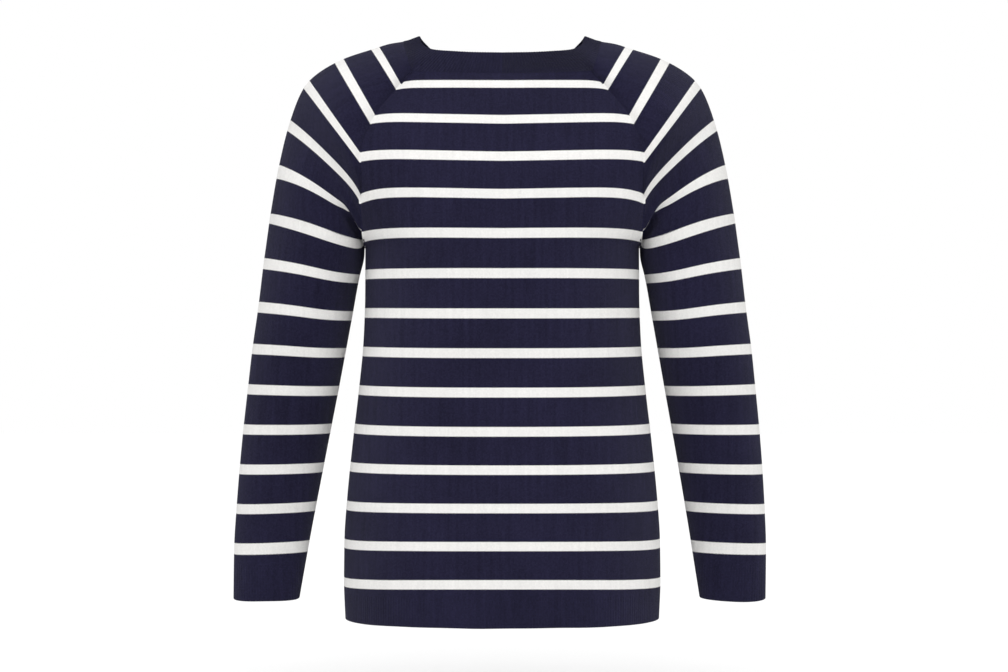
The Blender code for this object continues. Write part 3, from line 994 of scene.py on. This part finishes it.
@dataclass
class Studio:
    """The pale floor, the soft light and the camera.

    Args:
        camera: The camera's place, in millimetres.
        picture_width: The picture's width in pixels.
        scale: How many millimetres a pixel covers at the plane y = 0.
        floor_height: The floor's z, in millimetres.
        floor_size: The floor's width in metres.
        floor_colour: The floor's colour.
        world: How strongly the room lights the jumper.
        sun: The strength of the wide light from above.
        sun_from: The direction that it comes from.
        sun_width: How wide it is, in degrees.
        key: The nearer light's power in watts.
        key_place: Where it hangs, in millimetres.
        key_aim: The point that it faces.
        key_width: How wide it is, in metres.
    """

    camera: tuple[float, float, float] = (1.95, -2600.0, -325.0)
    picture_width: int = 1008
    scale: float = 1.085
    floor_height: float = -760.0
    floor_size: float = 16.0
    floor_colour: Colour = (0.93, 0.93, 0.93)
    world: float = 0.74
    sun: float = 1.5
    sun_from: tuple[float, float, float] = (0.0, -0.55, 1.0)
    sun_width: float = 60.0
    key: float = 3.6
    key_place: tuple[float, float, float] = (0.0, -1100.0, 500.0)
    key_aim: tuple[float, float, float] = (0.0, 0.0, -150.0)
    key_width: float = 0.8

    def place_camera(self) -> bpy.types.Object:
        """Puts the camera where the photograph's was, level and facing +Y."""
        data = bpy.data.cameras.new("camera")
        data.sensor_width = 36.0
        data.lens = -self.camera[1] / self.scale * data.sensor_width / self.picture_width
        data.clip_end = 50.0
        made = bpy.data.objects.new("camera", data)
        made.location = Vector(self.camera) * MM
        made.rotation_euler = (math.pi / 2, 0.0, 0.0)
        bpy.context.scene.collection.objects.link(made)
        bpy.context.scene.camera = made
        return made

    def lay_floor(self) -> bpy.types.Object:
        """Lays the pale floor."""
        half = self.floor_size / 2
        z = self.floor_height * MM
        mesh = bpy.data.meshes.new("floor")
        mesh.from_pydata([(-half, -half, z), (half, -half, z), (half, half, z), (-half, half, z)], [], [(0, 1, 2, 3)])
        made = bpy.data.objects.new("floor", mesh)
        material = bpy.data.materials.new("floor_paper")
        material.use_nodes = True
        shader = material.node_tree.nodes["Principled BSDF"]
        shader.inputs["Base Color"].default_value = (*self.floor_colour, 1.0)
        shader.inputs["Roughness"].default_value = 0.9
        shader.inputs["Specular IOR Level"].default_value = 0.1
        mesh.materials.append(material)
        bpy.context.scene.collection.objects.link(made)
        return made

    @staticmethod
    def hang(light: bpy.types.Light, place: Vector, away: Vector) -> None:
        """Hangs a light at a place in millimetres, with its back turned to a direction."""
        made = bpy.data.objects.new(light.name, light)
        made.location = place * MM
        made.rotation_euler = away.to_track_quat("Z", "Y").to_euler()
        bpy.context.scene.collection.objects.link(made)

    def light(self) -> None:
        """Lights the room evenly, with a wide soft light from above and a nearer one in front."""
        wide = bpy.data.lights.new("wide_light", "SUN")
        wide.energy = self.sun
        wide.angle = math.radians(self.sun_width)
        self.hang(wide, Vector((0.0, 0.0, 2000.0)), Vector(self.sun_from))
        near = bpy.data.lights.new("near_light", "AREA")
        near.energy = self.key
        near.size = self.key_width
        self.hang(near, Vector(self.key_place), Vector(self.key_place) - Vector(self.key_aim))
        world = bpy.data.worlds.new("studio")
        world.use_nodes = True
        bpy.context.scene.world = world
        graph = Graph(world.node_tree)
        background = world.node_tree.nodes["Background"]
        background.inputs["Color"].default_value = (1.0, 1.0, 1.0, 1.0)
        seen = graph.node("LightPath").outputs["Is Camera Ray"]
        graph.feed(background.inputs["Strength"], graph.blend(seen, self.world, 1.0))

    def build(self) -> None:
        """Sets up the room."""
        scene = bpy.context.scene
        scene.view_settings.view_transform = "Standard"
        scene.view_settings.look = "None"
        self.lay_floor()
        self.light()
        self.place_camera()


NAVY_KNIT = KnitFinish("navy_striped_knit", (0.0150, 0.0138, 0.0370), (0.88, 0.87, 0.85))
NAVY_RIB = KnitFinish("navy_rib_knit", (0.0135, 0.0125, 0.0330), (0.0135, 0.0125, 0.0330), rib_from=99.0)


@dataclass
class Jumper:
    """The whole jumper: two panels, two sleeves and the neckband.

    Args:
        back: The back panel.
        front: The front panel.
        sleeves: The two sleeves.
        neckband: The band round the neck.
    """

    back: BodyPanel = field(
        default_factory=lambda: BodyPanel("back_panel_cloth", Side.BACK, BACK_YOKE, BACK_STRIPES)
    )
    front: BodyPanel = field(
        default_factory=lambda: BodyPanel("front_panel_cloth", Side.FRONT, FRONT_YOKE, FRONT_STRIPES)
    )
    sleeves: tuple[Sleeve, Sleeve] = field(
        default_factory=lambda: (
            Sleeve(Arm.LEFT, BACK_YOKE, FRONT_YOKE),
            Sleeve(Arm.RIGHT, BACK_YOKE, FRONT_YOKE),
        )
    )
    neckband: Neckband = field(default_factory=Neckband)

    @staticmethod
    def dress(piece: bpy.types.Object, finish: bpy.types.Material) -> None:
        """Gives a piece its finish and reports it."""
        piece.data.materials.append(finish)
        LOG.info("%s: %d faces, %s", piece.name, len(piece.data.polygons), finish.name)

    def build(self) -> None:
        """Builds and dresses every piece."""
        knit, rib = NAVY_KNIT.material(), NAVY_RIB.material()
        back, front = self.back.cloth(), self.front.cloth()
        back_edge = back.normals[:YOKE_STRIPS, -1]
        front_edge = front.normals[:YOKE_STRIPS, 0]
        for panel in (self.back, self.front):
            self.dress(panel.build(), knit)
        for sleeve in self.sleeves:
            self.dress(sleeve.build(back_edge, front_edge), knit)
        right = self.sleeves[1].cloth(back_edge, front_edge)
        middle = HALF_PANEL_STRIPS
        seam = [back.points[0, middle:], right.points[0], front.points[0, : middle + 1]]
        outward = [back.normals[0, middle:], right.normals[0], front.normals[0, : middle + 1]]
        self.dress(self.neckband.build(np.concatenate(seam), np.concatenate(outward)), rib)


def main() -> None:
    """Builds the jumper and its studio."""
    logging.basicConfig(level=logging.INFO, format="%(name)s: %(message)s")
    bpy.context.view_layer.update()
    Jumper().build()
    Studio().build()


if __name__ == "__main__":
    main()
